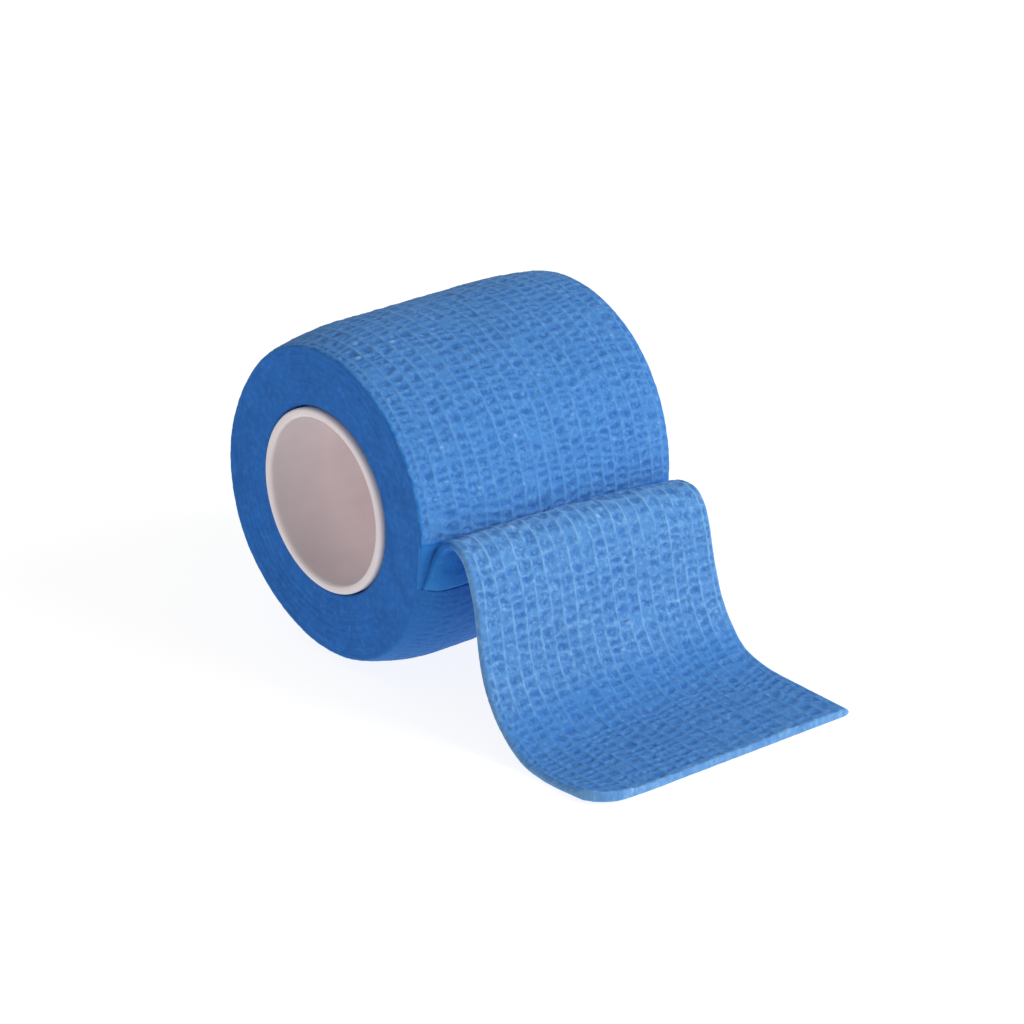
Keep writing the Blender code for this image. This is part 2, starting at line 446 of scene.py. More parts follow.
@dataclass
class ClothGrid:
    """A closed cloth surface, gathered point by point as lines that run along the tape."""

    places: list[Array] = field(default_factory=list)
    lay: list[Array] = field(default_factory=list)
    looks: list[Array] = field(default_factory=list)

    def add(
        self, place: Array, along: Array, across: Array, relief: Relief | None, edge: float | Array = 0.0
    ) -> None:
        """Adds one line of points.

        Args:
            place: Its points, in mm.
            along: Each point's place along the tape, in mm.
            across: Each point's place across it, in mm.
            relief: What the weave is like there, or None for plain cloth.
            edge: How much dark edge blue shows, from 0 to 1: the tape's own at its rims, painted shade
                beneath and behind the loose end's fold; up to 2 a lighter painted fill blue takes over.
        """
        self.places.append(place)
        self.lay.append(np.column_stack([along, across]))
        plain = np.zeros(len(place))
        values = [plain, plain, plain] if relief is None else [relief.thread, relief.recess, relief.fleck]
        self.looks.append(np.column_stack([*values, plain + edge]))

    def mesh(self, name: str, finish: Finish, closed_rows: bool) -> Piece:
        """Makes the surface, joined round its lines.

        Args:
            name: The new object's name.
            finish: Its material.
            closed_rows: Whether the last row of points joins the first as well.

        Returns:
            The object, with a UV map of its lay in decimetres and an attribute for each part of its weave.
        """
        places = np.stack(self.places + self.places[:1], axis=1)
        lay = np.stack(self.lay + self.lay[-1:], axis=1) * LAY_SCALE
        looks = np.stack(self.looks + self.looks[:1], axis=1)
        if closed_rows:
            places, lay, looks = (np.concatenate([a, a[:1]]) for a in (places, lay, looks))
        rows, columns = places.shape[:2]
        bm = bmesh.new()
        bmesh.ops.create_grid(bm, x_segments=rows - 1, y_segments=columns - 1, size=1.0)
        mesh = bpy.data.meshes.new(name)
        bm.to_mesh(mesh)
        flat = np.empty(len(mesh.vertices) * 3)
        mesh.vertices.foreach_get("co", flat)
        flat = (flat.reshape(-1, 3) + 1) / 2
        row = np.rint(flat[:, 0] * (rows - 1)).astype(int)
        column = np.rint(flat[:, 1] * (columns - 1)).astype(int)
        mesh.vertices.foreach_set("co", (places[row, column] * MM).ravel())
        corner = np.empty(len(mesh.loops), int)
        mesh.loops.foreach_get("vertex_index", corner)
        uv = mesh.uv_layers.new(name="lay")
        uv.data.foreach_set("uv", lay[row, column][corner].ravel())
        for i, part in enumerate(("thread", "recess", "fleck", "edge")):
            attribute = mesh.attributes.new(part, "FLOAT", "POINT")
            attribute.data.foreach_set("value", looks[row, column, i])
        bm.free()
        bm = bmesh.new()
        bm.from_mesh(mesh)
        bmesh.ops.remove_doubles(bm, verts=bm.verts, dist=MERGE_DISTANCE * MM)
        bmesh.ops.recalc_face_normals(bm, faces=bm.faces)
        bm.to_mesh(mesh)
        bm.free()
        mesh.shade_smooth()
        mesh.materials.append(finish)
        return put_in_scene(name, mesh)


class NodeBench:
    """Adds and joins a material's nodes."""

    def __init__(self, name: str) -> None:
        """Makes the material, with one Principled shader.

        Args:
            name: The material's name.
        """
        self.material = bpy.data.materials.new(name)
        self.material.use_nodes = True
        self.tree = self.material.node_tree
        self.shader = self.tree.nodes["Principled BSDF"]

    def node(self, kind: str, inputs: dict, output: str | int, **settings: object) -> Socket:
        """Adds a node.

        Args:
            kind: Its type.
            inputs: A socket to join or a plain value for each of its inputs, by name or number.
            output: Which of its outputs to give back.
            **settings: What to set on it.

        Returns:
            That output.
        """
        node = self.tree.nodes.new(kind)
        for key, value in settings.items():
            setattr(node, key, value)
        for key, value in inputs.items():
            self.give(node.inputs[key], value)
        return node.outputs[output]

    def give(self, socket: Socket, value: Socket | Color | float) -> None:
        """Gives an input its value.

        Args:
            socket: The input.
            value: A socket to join to it, or a plain value.
        """
        if isinstance(value, Socket):
            self.tree.links.new(value, socket)
        else:
            socket.default_value = (*value, 1.0) if socket.type == "RGBA" else value

    def where(self) -> Socket:
        """The object's own coordinates, in metres."""
        return self.node("ShaderNodeTexCoord", {}, "Object")

    def attribute(self, name: str) -> Socket:
        """The value of one of the mesh's attributes."""
        return self.node("ShaderNodeAttribute", {}, "Fac", attribute_name=name)

    def noise(self, at: Socket, scale: float, detail: float = 3.0) -> Socket:
        """Noise from 0 to 1, with this many lumps in one unit of the coordinates."""
        return self.node("ShaderNodeTexNoise", {"Vector": at, "Scale": scale, "Detail": detail}, "Fac")

    def stretched(self, at: Socket, scale: Point) -> Socket:
        """Coordinates scaled by a different amount in each direction."""
        return self.node("ShaderNodeMapping", {"Vector": at, "Scale": scale}, "Vector")

    def span(self, value: Socket, start: float, end: float, low: float = 0.0, high: float = 1.0) -> Socket:
        """Maps a value that runs from start to end onto low to high, and holds it there."""
        inputs = {"Value": value, "From Min": start, "From Max": end, "To Min": low, "To Max": high}
        return self.node("ShaderNodeMapRange", inputs, "Result", clamp=True)

    def combine(self, operation: str, *values: Socket) -> Socket:
        """The sum, product or the like of some values."""
        return self.node("ShaderNodeMath", dict(enumerate(values)), 0, operation=operation)

    def blend(self, share: Socket, first: Socket | Color, second: Socket | Color) -> Socket:
        """Two colours mixed, with this share of the second, from 0 to 1."""
        inputs = {"Factor": share, 6: first, 7: second}
        return self.node("ShaderNodeMix", inputs, 2, data_type="RGBA", clamp_factor=True)

    def shade(self, color: Socket, amount: Socket) -> Socket:
        """A colour made lighter or darker by an amount around 1."""
        return self.node("ShaderNodeHueSaturation", {"Color": color, "Value": amount}, "Color")

    def bump(self, height: Socket, distance: float, strength: float) -> None:
        """Gives the shader a bump of this height, in metres, and strength."""
        inputs = {"Height": height, "Distance": distance, "Strength": strength}
        self.set(Normal=self.node("ShaderNodeBump", inputs, "Normal"))

    def set(self, **values: Socket | Color | float) -> None:
        """Sets values on the shader's own sockets, named with _ for spaces."""
        for key, value in values.items():
            self.give(self.shader.inputs[key.replace("_", " ")], value)


@dataclass(frozen=True)
class ClothFinish:
    """Matt blue crinkled cloth: pale threads, painted shade in the crinkle recesses and a fine felt of
    short fibres.
    """

    name: str = "crinkled_blue_cloth"
    ground: Color = (0.052, 0.200, 0.505)
    # Painted shade: the darker colour of the crinkle recesses.
    hollow: Color = (0.026, 0.124, 0.395)
    thread: Color = (0.125, 0.315, 0.630)
    thread_share: float = 0.44
    fleck: Color = (0.290, 0.480, 0.740)
    # The tape's own edge blue, also used as painted shade beneath and behind the loose end's fold; the next
    # colour is a lighter painted fill for the shaded fold.
    edge: Color = (0.011, 0.140, 0.475)
    painted_fill_blue: Color = (0.032, 0.225, 0.620)

    def material(self) -> Finish:
        """Builds the material.

        Returns:
            The material, which reads the weave's attributes and the cloth's own lay.
        """
        bench = NodeBench(self.name)
        lay = bench.node("ShaderNodeUVMap", {}, "UV", uv_map="lay")
        where = bench.where()
        recess = bench.span(bench.attribute("recess"), 0.05, 0.75)
        patches = bench.noise(where, 1700.0, detail=2.0)
        recess = bench.combine("MULTIPLY", recess, bench.span(patches, 0.35, 0.65, 0.70, 1.25))
        # Painted shade: the crinkle recesses are darkened.
        color = bench.blend(recess, self.ground, self.hollow)
        tufts = bench.noise(where, 1350.0, detail=2.0)
        color = bench.blend(bench.span(tufts, 0.50, 0.70, 0.0, 0.48), color, self.thread)
        thread = bench.span(bench.attribute("thread"), 0.25, 0.95, 0.0, self.thread_share)
        color = bench.blend(thread, color, self.thread)
        wisps = bench.noise(bench.stretched(lay, (260.0, 620.0, 1.0)), 1.0, detail=2.0)
        color = bench.blend(bench.span(wisps, 0.54, 0.78, 0.0, 0.30), color, self.thread)
        fleck = bench.span(bench.attribute("fleck"), 0.1, 0.8, 0.0, 0.8)
        color = bench.blend(fleck, color, self.fleck)
        # Edge blue at the rims, painted shade in the fold, and from 1 to 2 a lighter painted fill.
        edge = bench.attribute("edge")
        color = bench.blend(bench.span(edge, 0.0, 1.0), color, self.edge)
        color = bench.blend(bench.span(edge, 1.0, 2.0), color, self.painted_fill_blue)
        broad = bench.span(bench.noise(where, 90.0), 0.3, 0.7, 0.97, 1.03)
        fine = bench.span(bench.noise(where, 2200.0, detail=1.0), 0.3, 0.7, 0.95, 1.05)
        bench.set(Base_Color=bench.shade(color, bench.combine("MULTIPLY", broad, fine)))
        felt = bench.combine("ADD", bench.noise(where, 3200.0, detail=2.0), wisps)
        bench.bump(felt, distance=0.00012, strength=0.45)
        bench.set(Roughness=0.92, Specular_IOR_Level=0.20, Sheen_Weight=0.10, Sheen_Roughness=0.55)
        bench.set(Sheen_Tint=SHEEN_TINT)
        return bench.material


@dataclass(frozen=True)
class EndFaceFinish:
    """The tape's own edges, packed side by side: deeper blue, finely mottled and a little fuzzy."""

    name: str = "packed_blue_edges"
    ground: Color = (0.0175, 0.138, 0.480)
    hollow: Color = (0.0140, 0.120, 0.440)
    fuzz: Color = (0.0280, 0.166, 0.540)
    fleck: Color = (0.075, 0.225, 0.56)

    def material(self) -> Finish:
        """Builds the material.

        Returns:
            The material, which reads the face's attributes and Object coordinates.
        """
        bench = NodeBench(self.name)
        where = bench.where()
        recess = bench.span(bench.attribute("recess"), 0.2, 1.0, 0.0, 0.7)
        color = bench.blend(recess, self.ground, self.hollow)
        mottle = bench.noise(where, 900.0, detail=3.0)
        color = bench.blend(bench.span(mottle, 0.45, 0.75), color, self.fuzz)
        fleck = bench.span(bench.attribute("fleck"), 0.2, 0.9, 0.0, 0.6)
        color = bench.blend(fleck, color, self.fleck)
        broad = bench.span(bench.noise(where, 160.0), 0.3, 0.7, 0.90, 1.10)
        bench.set(Base_Color=bench.shade(color, broad))
        felt = bench.combine("ADD", bench.noise(where, 3000.0, detail=2.0), mottle)
        bench.bump(felt, distance=0.0001, strength=0.5)
        bench.set(Roughness=0.95, Specular_IOR_Level=0.15, Sheen_Weight=0.05, Sheen_Roughness=0.6)
        bench.set(Sheen_Tint=SHEEN_TINT)
        return bench.material


@dataclass(frozen=True)
class CoreFinish:
    """The core's satin cream plastic, with faint lengthwise streaks from its drawing, and painted light
    along its bore: lighter deep inside and darker towards the openings.
    """

    name: str = "satin_cream_core"
    ground: Color = (0.845, 0.762, 0.776)
    streak: Color = (0.820, 0.737, 0.751)

    def material(self) -> Finish:
        """Builds the material.

        Returns:
            The material, which reads Object coordinates.
        """
        bench = NodeBench(self.name)
        where = bench.where()
        streaks = bench.noise(bench.stretched(where, (420.0, 9.0, 420.0)), 1.0, detail=3.0)
        color = bench.blend(bench.span(streaks, 0.35, 0.70, 0.0, 0.8), self.ground, self.streak)
        cloud = bench.span(bench.noise(where, 160.0), 0.3, 0.7, 0.97, 1.03)
        # Painted light and shade along the bore: lighter deep inside, darker towards the openings, and left
        # alone on the rims.
        reach = bench.combine("ABSOLUTE", bench.node("ShaderNodeSeparateXYZ", {0: where}, "Y"))
        behind_rim = bench.span(reach, 0.0243, 0.0247, 1.0, 0.0)
        painted_bore_light = bench.combine("MULTIPLY", behind_rim, bench.span(reach, 0.014, 0.0235, 0.13, -0.18))
        color = bench.shade(color, bench.span(painted_bore_light, -0.5, 0.5, 0.5, 1.5))
        grain = bench.noise(where, 2200.0, detail=2.0)
        bench.set(Base_Color=bench.shade(color, cloud), Roughness=bench.span(grain, 0.3, 0.7, 0.48, 0.62))
        bench.bump(bench.combine("ADD", streaks, grain), distance=0.00003, strength=0.35)
        bench.set(Specular_IOR_Level=0.4)
        return bench.material


@dataclass
class WoundTape:
    """The roll's wound form: its crinkled barrel, soft shoulders and rims, and the wall behind its ends."""

    weave: CrinkledWeave
    rows: int = 600
    rim_round: float = 0.45
    rim_steps: int = 3
    ledge: float = 0.85
    ledge_slope: float = 0.03
    ledge_depth: float = 0.06
    wall_y: float = 23.9
    # The next five settings place painted shade behind the loose end's fold and beneath the loose end,
    # lightened by a painted fill behind the fold; the two after them scale that into the edge colour and
    # calm the relief there.
    fold_turn: float = 341.5
    fold_slant: float = 6.0
    fold_soft: float = 2.5
    open_turn: float = 110.0
    open_soft: float = 25.0
    painted_shade_share: float = 0.78
    calm_share: float = 0.6
    step_fade: float = 16.0

    def __post_init__(self) -> None:
        """Works out each row's place, how much painted shade it gets beneath the loose end, and the
        outline's table.
        """
        self.turn = np.linspace(0, 360, self.rows)
        self.along = -self.turn * ARC_PER_TURN / 360
        self.under = np.clip((self.open_turn - self.turn) / self.open_soft, 0, 1)
        self.outline = SmoothTable([p.turn for p in OUTLINE], [p[1:] for p in OUTLINE])

    def radius(self, turn: Array, y: Array) -> Array:
        """The plain barrel's radius.

        Args:
            turn: How far round from the step, in degrees.
            y: The place along the axis, in mm.

        Returns:
            The radius at each point, in mm.
        """
        values = self.outline.at(turn)
        drop = np.where(y < 0, values[..., 1], values[..., 2])
        power = SHOULDER_POWER + STEP_POWER * np.exp(-turn / self.step_fade)
        return values[..., 0] - drop * shoulder(y) ** power

    def place(self, turn: Array, radius: Array, y: Array) -> Array:
        """Points on the roll, kept above the surface that it rests on."""
        x, z = (radius * wave(np.radians(STEP_ANGLE - turn)) for wave in (np.cos, np.sin))
        return np.column_stack([x, np.broadcast_to(y, turn.shape), np.maximum(AXIS_HEIGHT + z, 0.0)])

    def end_lines(self, end: RollEnd) -> list[tuple[Array, Array]]:
        """The lines that close one end, from the hole out to the barrel.

        Args:
            end: Which end.

        Returns:
            (radius, y) of each line.
        """
        rim = self.radius(self.turn, np.full_like(self.turn, end.value * HALF_WIDTH))
        arc = self.turn * RIM_ARC
        fray = 0.02 * drift(arc, 0.5, 800 + end.value) + 0.015 * drift(arc, 2.4, 810 + end.value)
        wall = np.full_like(rim, end.value * self.wall_y)
        found = [(np.full_like(rim, HOLE_RADIUS), wall), (rim - self.ledge, wall)]
        for inset in (self.ledge, self.ledge - self.ledge_slope):
            found.append((rim - inset, end.value * (HALF_WIDTH - self.ledge_depth + 0 * rim)))
        for i in range(self.rim_steps):
            angle = math.pi / 2 * (1 - i / self.rim_steps)
            inset = self.rim_round * (1 - math.cos(angle))
            y = HALF_WIDTH - self.rim_round * (1 - math.sin(angle))
            found.append((rim - inset + fray, end.value * (y + fray * math.sin(angle))))
        return found

    def painted_shade_in_fold(self, across: Array) -> Array:
        """How much painted shade each point gets: up to 1 beneath the loose end and up to 2 behind its
        fold, where a painted fill lightens it.
        """
        behind = (self.turn - (self.fold_turn + self.fold_slant * across / TAPE_WIDTH)) / self.fold_soft
        return np.maximum(2 * np.clip(behind, 0, 1), self.under)

    def edge_share(self, line: int, across: Array) -> Array:
        """How much of the tape's own edge blue shows on a line near one end, or of the painted shade from
        the fold.

        Args:
            line: Its number, from the hole outwards, with 7 for the barrel's first line.
            across: Each point's place across the tape, in mm.

        Returns:
            The share at each point, from 0 to 1, and up to 2 behind the fold, where a painted fill lightens
            the painted shade.
        """
        ragged = np.clip(0.5 + 0.9 * drift(self.turn * RIM_ARC, 0.8, 820 + line), 0, 1)
        share = (1.0, 1.0, 1.0, 1.0, 1.0, 0.4 + 0.6 * ragged, ragged, 0.5 * ragged)[line]
        return np.maximum(share, self.painted_shade_share * self.painted_shade_in_fold(across))

    def add_end(self, grid: ClothGrid, end: RollEnd) -> None:
        """Adds the lines that close one end: inward at the far one, outward at the near one.

        Args:
            grid: What to add them to.
            end: Which end.
        """
        outward = list(enumerate(self.end_lines(end)))
        for i, (radius, y) in outward[:: -end.value]:
            across = y + HALF_WIDTH
            grid.add(self.place(self.turn, radius, y), self.along, across, None, self.edge_share(i, across))

    def build(self, cloth: Finish) -> Piece:
        """Makes the wound form.

        Args:
            cloth: Its finish.

        Returns:
            The piece.
        """
        lines = self.weave.lines()
        grid = ClothGrid()
        self.add_end(grid, RollEnd.NEAR)
        for gap, share in lines:
            across = self.weave.across_at(gap, share, self.along)
            relief = self.weave.relief(gap, share, self.along, ClothSide.OUTER)
            deep = self.painted_shade_in_fold(across)
            y = across - HALF_WIDTH
            # Beneath and behind the loose end's fold the relief is calmed and the colour takes painted
            # shade, lightened by a painted fill behind the fold.
            radius = self.radius(self.turn, y) + relief.height * (1 - self.calm_share * np.minimum(deep, 1))
            at_rim = (gap, share) in (lines[0], lines[-1])
            edge = self.edge_share(7, across) if at_rim else self.painted_shade_share * deep
            grid.add(self.place(self.turn, radius, y), self.along, across, relief, edge)
        self.add_end(grid, RollEnd.FAR)
        return grid.mesh("wound_cloth", cloth, closed_rows=True)


@dataclass
class EndFace:
    """One end of the roll: the edges of its turns, which lie side by side in a spiral."""

    end: RollEnd
    wound: WoundTape
    rows: int = 420
    rings: int = 80
    turns: float = 17.5
    overlap: float = 0.30
    dish: float = 0.5
    groove: float = 0.020
    stagger: float = 0.035
    sink: float = 0.03
    thickness: float = 0.95
    back_inset: float = 0.05
    hole_soften: float = 0.25
    fuzz: tuple[Layer, ...] = (Layer(0.04, 0.55, 2), Layer(0.05, 3.0, 3))
    pattern_shift: float = 60.0

    def build(self, edges: Finish) -> Piece:
        """Makes the face as a thin ring-shaped slab.

        Args:
            edges: Its finish.

        Returns:
            The piece.
        """
        seed = 900 + self.end.value
        turn = np.linspace(0, 360, self.rows)
        rim = self.wound.radius(turn, np.full_like(turn, self.end.value * HALF_WIDTH))
        outer = rim - self.wound.ledge + self.overlap
        grid = ClothGrid()
        back = self.end.value * (HALF_WIDTH - self.dish - self.thickness + 0 * turn)
        for radius in (outer - self.back_inset, HOLE_RADIUS + self.back_inset + 0 * turn):
            grid.add(self.wound.place(turn, radius, back), turn, outer, None)
        for share in np.linspace(0, 1, self.rings):
            radius = HOLE_RADIUS + (outer - HOLE_RADIUS) * share
            layer = (rim - radius) / (rim - HOLE_RADIUS) * self.turns + turn / 360
            crease = (0.5 + 0.5 * np.cos(math.tau * layer)) ** 2
            stagger = self.stagger * drift(np.floor(layer) - turn / 360, 0.35, seed)
            spots = [radius * wave(np.radians(turn)) + self.pattern_shift for wave in (np.cos, np.sin)]
            fuzz = layered(*spots, self.fuzz, seed)
            depth = self.dish * (1 - share) + self.groove * crease + stagger + fuzz + self.sink
            soften = self.hole_soften * max(0.0, 1 - share * self.rings / 3) ** 2
            y = self.end.value * (HALF_WIDTH - depth - soften)
            knots = np.clip(lumps(*spots, 0.7, seed + 5) * 2.2 - 1.4, 0, 1)
            mottle = np.clip(0.15 * crease + 0.5 + 0.5 * lumps(*spots, 1.1, seed + 4), 0, 1)
            grid.add(self.wound.place(turn, radius, y), turn, radius, Relief(y, mottle, mottle, knots))
        return grid.mesh(f"{self.end.name.lower()}_end_face", edges, closed_rows=True)


@dataclass
class LooseEnd:
    """The outer turn's free end: a sheet that folds over, drops and lies out on the surface."""

    weave: CrinkledWeave
    rows: int = 292
    first_row: float = 0.2
    cut_round: float = 0.3
    cut_angles: tuple[float, ...] = (35.0, 65.0, 90.0)
    corner_radius: float = 6.0
    corner_lift: float = 0.6
    corner_share: float = 0.25
    edge_steps: int = 3
    slope_step: float = 0.4
    flat_station: int = 11
    # Painted shade: the part that lies flat on the surface is darkened by this share of the edge blue.
    flat_depth: float = 0.36
    band_depth: float = 1.0
    band_corner: float = 0.9
    band_corner_reach: float = 9.0
    # Along the edges painted shade with a lighter painted fill reaches this far from the fold; the
    # underside takes painted shade all along, lightened by a painted fill up to the next setting.
    fold_end: float = 9.5
    tunnel_end: float = 30.0
    rim_drop: float = 2.4
    hug_reach: float = 6.5

    def __post_init__(self) -> None:
        """Works out where each station lies along the middle line, and the rows of points."""
        middles = [((s.near_x + s.far_x) / 2, (s.near_z + s.far_z) / 2) for s in LOOSE_END]
        runs = [math.dist(a, b) for a, b in zip(middles, middles[1:])]
        self.knots = np.concatenate([[0.0], np.cumsum(runs)]) - runs[0]
        self.table = SmoothTable(self.knots, LOOSE_END)
        self.along, self.stand = self.profile()

    @property
    def length(self) -> float:
        """How long the loose end is from the step to its cut, in mm."""
        return float(self.knots[-1])

    def underside(self, along: Array, across: Array) -> Array:
        """The plain cloth's underside.

        Args:
            along: Places along the tape, in mm.
            across: Places across it, in mm from the near edge.

        Returns:
            The points, in mm.
        """
        share = across / TAPE_WIDTH
        last_run = self.knots[-1] - self.knots[-2]
        inset = np.clip(self.corner_radius - across, 0, 0.995 * self.corner_radius)
        setback = self.corner_radius - np.sqrt(self.corner_radius**2 - inset**2)
        beyond = np.maximum(along - self.knots[-2], 0) / last_run
        stations = self.table.at(along - setback * beyond)
        near_x, near_z, far_x, far_z, near_y, far_y, bow = np.moveaxis(stations, -1, 0)
        lift = self.corner_lift * beyond**2 * np.maximum(1 - share / self.corner_share, 0) ** 2
        y = near_y + (far_y - near_y) * share
        drawn_in = shoulder(y) ** (SHOULDER_POWER + STEP_POWER)
        hug = self.rim_drop * drawn_in * np.clip(1 - along / self.hug_reach, 0, 1)
        x = near_x + (far_x - near_x) * share - hug
        z = near_z + (far_z - near_z) * share + 4 * bow * share * (1 - share)
        return np.column_stack([x, y, np.maximum(z, 0.0) + lift])

    def upward(self, along: Array, across: Array) -> Array:
        """The direction from the cloth's underside to its top.

        Args:
            along: Places along the tape, in mm.
            across: Places across it, in mm.

        Returns:
            A vector of length 1 for each place.
        """
        step = self.slope_step
        ahead = self.underside(np.minimum(along + step, self.length), across)
        run = ahead - self.underside(along - step, across)
        wide = self.underside(along, across + step) - self.underside(along, np.maximum(across - step, 0.0))
        normal = np.cross(run, wide)
        return normal / np.linalg.norm(normal, axis=1)[:, None]

    def profile(self) -> tuple[Array, Array]:
        """The rows along the tape.

        Returns:
            Each row's place in mm, and how far its top stands off the middle of the cloth, from 0 to 1.
        """
        start, end = self.knots[0], self.length
        plain = np.linspace(start + self.first_row, end - self.cut_round, self.rows)
        angles = np.radians(self.cut_angles)
        round_end = end - self.cut_round * (1 - np.sin(angles))
        along = np.concatenate([[start], plain, round_end, [end]])
        stand = np.concatenate([[0.0], np.ones(self.rows), 0.55 + 0.45 * np.cos(angles), [0.0]])
        return along, stand

    def corner(self, across: Array) -> Array:
        """How near each place across the tape is to the near corner, from 0 to 1."""
        return np.clip(1 - across / self.band_corner_reach, 0, 1)

    def cut_band(self, along: Array, across: Array) -> Array:
        """How much the cut end's paler, fluffed fibres show, from 0 to 1."""
        reach = self.band_depth + self.band_corner * self.corner(across) + 0.25 * drift(across, 0.8, 950)
        return np.clip(1.15 - (self.length - along) / reach, 0, 1)

    def fluff(self, along: Array, across: Array) -> Array:
        """How thickly the cut's loose fibres lie, from 0 to 1."""
        return np.clip(0.5 + 0.5 * lumps(along + PATTERN_SHIFT, across, 0.5, 955), 0, 1)

    def add_side(self, grid: ClothGrid, side: ClothSide) -> None:
        """Adds the lines of the top, or of the underside from the far edge back.

        Args:
            grid: What to add them to.
            side: INNER for the top, which faced the roll, or UNDER.
        """
        along, stand = self.along, self.stand
        middle = SHEET_THICKNESS / 2
        flat = np.clip((along - self.knots[self.flat_station] + 2.5) / 6.0, 0, 1)
        lines = self.weave.lines()
        for gap, share in lines if side is ClothSide.INNER else reversed(lines):
            across = self.weave.across_at(gap, share, along)
            relief = self.weave.relief(gap, share, along, side)
            band = self.cut_band(along, across)
            fluff = self.fluff(along, across)
            height = relief.height * (1 - 0.6 * band) * stand
            if side is ClothSide.INNER:
                puff = band * stand * (0.12 + 0.50 * self.corner(across)) * (0.7 + 0.3 * fluff)
                off = middle + middle * stand + height + puff
                # Painted shade on the part that lies flat.
                edge = self.flat_depth * flat * (1 - band)
            else:
                off = middle - middle * stand - 0.4 * np.minimum(height, 0.0)
                # Painted shade on the whole underside, lightened by a painted fill towards the fold and the
                # tunnel.
                edge = (1.0 + np.clip((self.tunnel_end - along) / 8.0, 0, 1)) * (1 - band)
            place = self.underside(along, across) + self.upward(along, across) * off[:, None]
            place[:, 2] = np.maximum(place[:, 2], 0.0)
            thread = np.maximum(relief.thread * (1 - 0.5 * flat), band * (0.2 + 0.55 * fluff))
            looks = Relief(height, thread, relief.recess * (1 - band), relief.fleck)
            grid.add(place, along, across, looks, edge)

    def add_edge(self, grid: ClothGrid, end: RollEnd) -> None:
        """Adds the lines round one lengthwise edge, down at the far one and back up at the near one.

        Args:
            grid: What to add them to.
            end: Which edge.
        """
        along, stand = self.along, self.stand
        inset = self.weave.edge_round
        across = np.full_like(along, inset if end is RollEnd.NEAR else TAPE_WIDTH - inset)
        up = self.upward(along, across)
        fray = 0.03 * drift(along, 0.45, 960 + end.value) + 0.03 * drift(along, 2.0, 970 + end.value)
        middle = SHEET_THICKNESS / 2
        spread = np.clip((along - along[0]) / self.first_row, 0, 1)
        pits = 0.6 * (1 - self.cut_band(along, across)) * np.clip(drift(along, 0.8, 980 + end.value), 0, 1)
        fibres = Relief(0 * along, 0.42 + 0.4 * self.fluff(along, across), pits, 0 * along)
        # Painted shade on the edges near the fold, a little lightened by a painted fill.
        edge = 1.2 * np.clip((self.fold_end - along) / 3.0, 0, 1)
        for i in range(1, self.edge_steps + 1)[:: end.value]:
            angle = math.pi * i / (self.edge_steps + 1)
            off = middle + middle * stand * math.cos(angle)
            reach = (inset + fray) * math.sin(angle) * spread
            spot = across + end.value * reach
            place = self.underside(along, spot) + up * off[:, None]
            place[:, 2] = np.maximum(place[:, 2], 0.0)
            grid.add(place, along, spot, fibres, edge)

    def build(self, cloth: Finish) -> Piece:
        """Makes the loose end.

        Args:
            cloth: Its finish.

        Returns:
            The piece.
        """
        grid = ClothGrid()
        self.add_side(grid, ClothSide.INNER)
        self.add_edge(grid, RollEnd.FAR)
        self.add_side(grid, ClothSide.UNDER)
        self.add_edge(grid, RollEnd.NEAR)
        return grid.mesh("loose_end_cloth", cloth, closed_rows=False)


@dataclass
class CoreTube:
    """The open tube that the tape is wound on, with softly rounded rims."""

    outer_radius: float = 15.0
    wall: float = 1.4
    half_length: float = 25.1
    rim_round: float = 0.45
    rim_steps: int = 5
    steps: int = 180
    length_steps: int = 12

    def profile(self) -> list[tuple[float, float]]:
        """The wall's section, once round.

        Returns:
            (radius, y) of each point.
        """
        outer = self.outer_radius - self.rim_round
        inner = self.outer_radius - self.wall + self.rim_round
        points = []
        for quarter, (centre, sign) in enumerate(((outer, 1), (inner, 1), (inner, -1), (outer, -1))):
            for i in range(self.rim_steps + 1):
                angle = math.radians(90 * quarter + 90 * i / self.rim_steps)
                y = sign * (self.half_length - self.rim_round) + self.rim_round * math.sin(angle)
                points.append((centre + self.rim_round * math.cos(angle), y))
            if quarter % 2:
                radius, y_from = points[-1]
                for i in range(1, self.length_steps):
                    points.append((radius, y_from * (1 - 2 * i / self.length_steps)))
        return points

    def build(self, plastic: Finish) -> Piece:
        """Turns the section about the roll's axis.

        Args:
            plastic: Its finish.

        Returns:
            The piece.
        """
        bm = bmesh.new()
        verts = [bm.verts.new((r * MM, y * MM, AXIS_HEIGHT * MM)) for r, y in self.profile()]
        edges = [bm.edges.new((a, b)) for a, b in zip(verts, verts[1:] + verts[:1])]
        bmesh.ops.spin(
            bm,
            geom=verts + edges,
            cent=(0, 0, AXIS_HEIGHT * MM),
            axis=(0, 1, 0),
            angle=math.tau,
            steps=self.steps,
            use_merge=True,
        )
        bmesh.ops.recalc_face_normals(bm, faces=bm.faces)
        mesh = bpy.data.meshes.new("core_wall")
        bm.to_mesh(mesh)
        bm.free()
        mesh.shade_smooth()
        mesh.materials.append(plastic)
        return put_in_scene("core_wall", mesh)


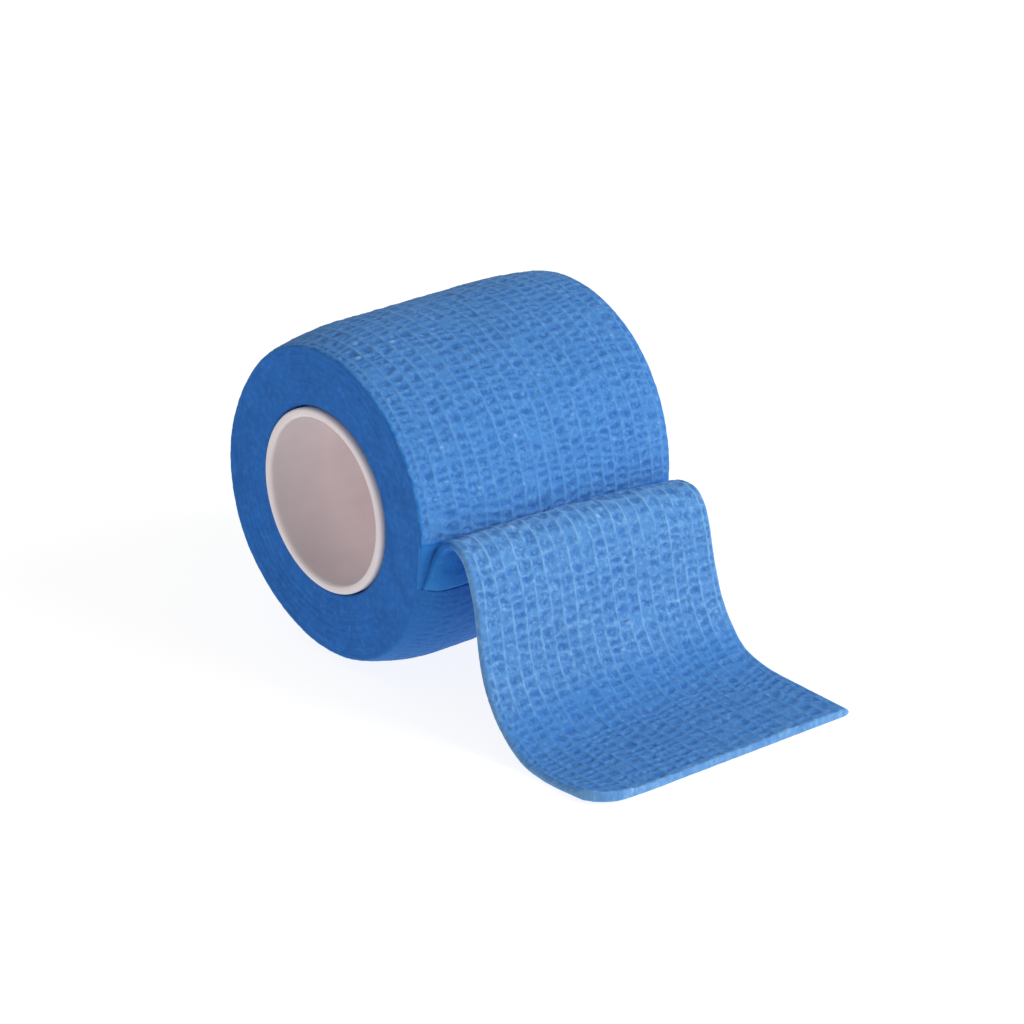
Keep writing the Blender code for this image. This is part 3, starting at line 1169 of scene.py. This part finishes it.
@dataclass
class Studio:
    """The pale floor, the soft lights and the camera at the photograph's angle, in metres."""

    floor_half: float = 3.0
    floor_drop: float = 0.00005
    eye: Point = (0.43206, -0.34033, 0.26699)
    back: Point = (0.7051, -0.5768, 0.4125)
    lens: float = 132.69
    key_place: Point = (0.66, 0.42, 0.47)
    key_aim: Point = (0.02, 0.0, 0.02)
    key_side: float = 0.60
    key_power: float = 7.2
    fill_strength: float = 0.45

    def floor(self) -> None:
        """A plain pale floor, which is stage and not part of the roll."""
        bench = NodeBench("pale_floor")
        bench.set(Base_Color=(0.24, 0.24, 0.24), Roughness=0.9, Specular_IOR_Level=0.1)
        bench.set(Emission_Color=(1.0, 1.0, 1.0), Emission_Strength=0.87)
        bm = bmesh.new()
        drop = Matrix.Translation((0, 0, -self.floor_drop))
        bmesh.ops.create_grid(bm, x_segments=1, y_segments=1, size=self.floor_half, matrix=drop)
        mesh = bpy.data.meshes.new("floor")
        bm.to_mesh(mesh)
        bm.free()
        mesh.materials.append(bench.material)
        floor = put_in_scene("floor", mesh)

    def light(self) -> None:
        """A broad key light from the loose end's side, and an even white surround."""
        lamp = bpy.data.lights.new("key", "AREA")
        lamp.shape = "DISK"
        lamp.size = self.key_side
        lamp.energy = self.key_power
        place = Vector(self.key_place)
        turn = (place - Vector(self.key_aim)).to_track_quat("Z", "Y")
        put_in_scene("key", lamp).matrix_world = Matrix.Translation(place) @ turn.to_matrix().to_4x4()
        world = bpy.data.worlds.new("surround")
        world.use_nodes = True
        nodes, join = world.node_tree.nodes, world.node_tree.links.new
        glow = nodes["Background"]
        seen = nodes.new("ShaderNodeBackground")
        pick = nodes.new("ShaderNodeMixShader")
        join(nodes.new("ShaderNodeLightPath").outputs["Is Camera Ray"], pick.inputs["Fac"])
        for i, (node, strength) in enumerate(((glow, self.fill_strength), (seen, 1.0)), start=1):
            node.inputs["Color"].default_value = (1.0, 1.0, 1.0, 1.0)
            node.inputs["Strength"].default_value = strength
            join(node.outputs[0], pick.inputs[i])
        join(pick.outputs[0], nodes["World Output"].inputs["Surface"])
        bpy.context.scene.world = world

    def camera(self) -> None:
        """The camera, at the place and turn fitted to the photograph."""
        back = Vector(self.back).normalized()
        right = Vector((0, 0, 1)).cross(back).normalized()
        up = back.cross(right)
        data = bpy.data.cameras.new("camera")
        data.sensor_width = 36.0
        data.lens = self.lens
        data.clip_start = 0.01
        camera = put_in_scene("camera", data)
        turn = Matrix((right, up, back)).transposed().to_4x4()
        camera.matrix_world = Matrix.Translation(Vector(self.eye)) @ turn
        bpy.context.scene.camera = camera

    def build(self) -> None:
        """Sets up the whole studio, with colours shown as they are."""
        self.floor()
        self.light()
        self.camera()
        bpy.context.scene.view_settings.view_transform = "Standard"


def fit(piece: Piece, slot: str, *nodes: str) -> Piece:
    """Fastens a piece to the roll's body, hides the CAD nodes that it stands for and reports it.

    Args:
        piece: The finished piece.
        slot: The record's material slot; not used.
        *nodes: The CAD nodes that it stands for.

    Returns:
        The piece.
    """
    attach(piece, "root")
    if nodes:
        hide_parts(*nodes)
    LOG.info("%s: %d triangles", piece.name, sum(len(p.vertices) - 2 for p in piece.data.polygons))
    return piece


def main() -> None:
    """Builds the studio and the roll's pieces."""
    logging.basicConfig(level=logging.INFO, format="%(name)s: %(message)s")
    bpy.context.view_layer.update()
    weave = CrinkledWeave()
    cloth = ClothFinish().material()
    # The loose end is a paler copy of the cloth: its paler ground and hollow are painted light that shines
    # through its single layer, and its threads show more.
    loose_cloth = ClothFinish(
        name="crinkled_blue_loose_cloth",
        ground=(0.072, 0.228, 0.520),
        hollow=(0.035, 0.146, 0.415),
        thread=(0.190, 0.395, 0.690),
        thread_share=0.78,
    ).material()
    edges = EndFaceFinish().material()
    plastic = CoreFinish().material()
    Studio().build()
    wound = WoundTape(weave)
    fit(wound.build(cloth), "tape", "wound_tape")
    for end in RollEnd:
        fit(EndFace(end, wound).build(edges), "tape")
    fit(CoreTube().build(plastic), "core", "core_tube")
    loose = LooseEnd(weave)
    sheet = fit(loose.build(loose_cloth), "tape", "loose_end")


if __name__ == "__main__":
    main()
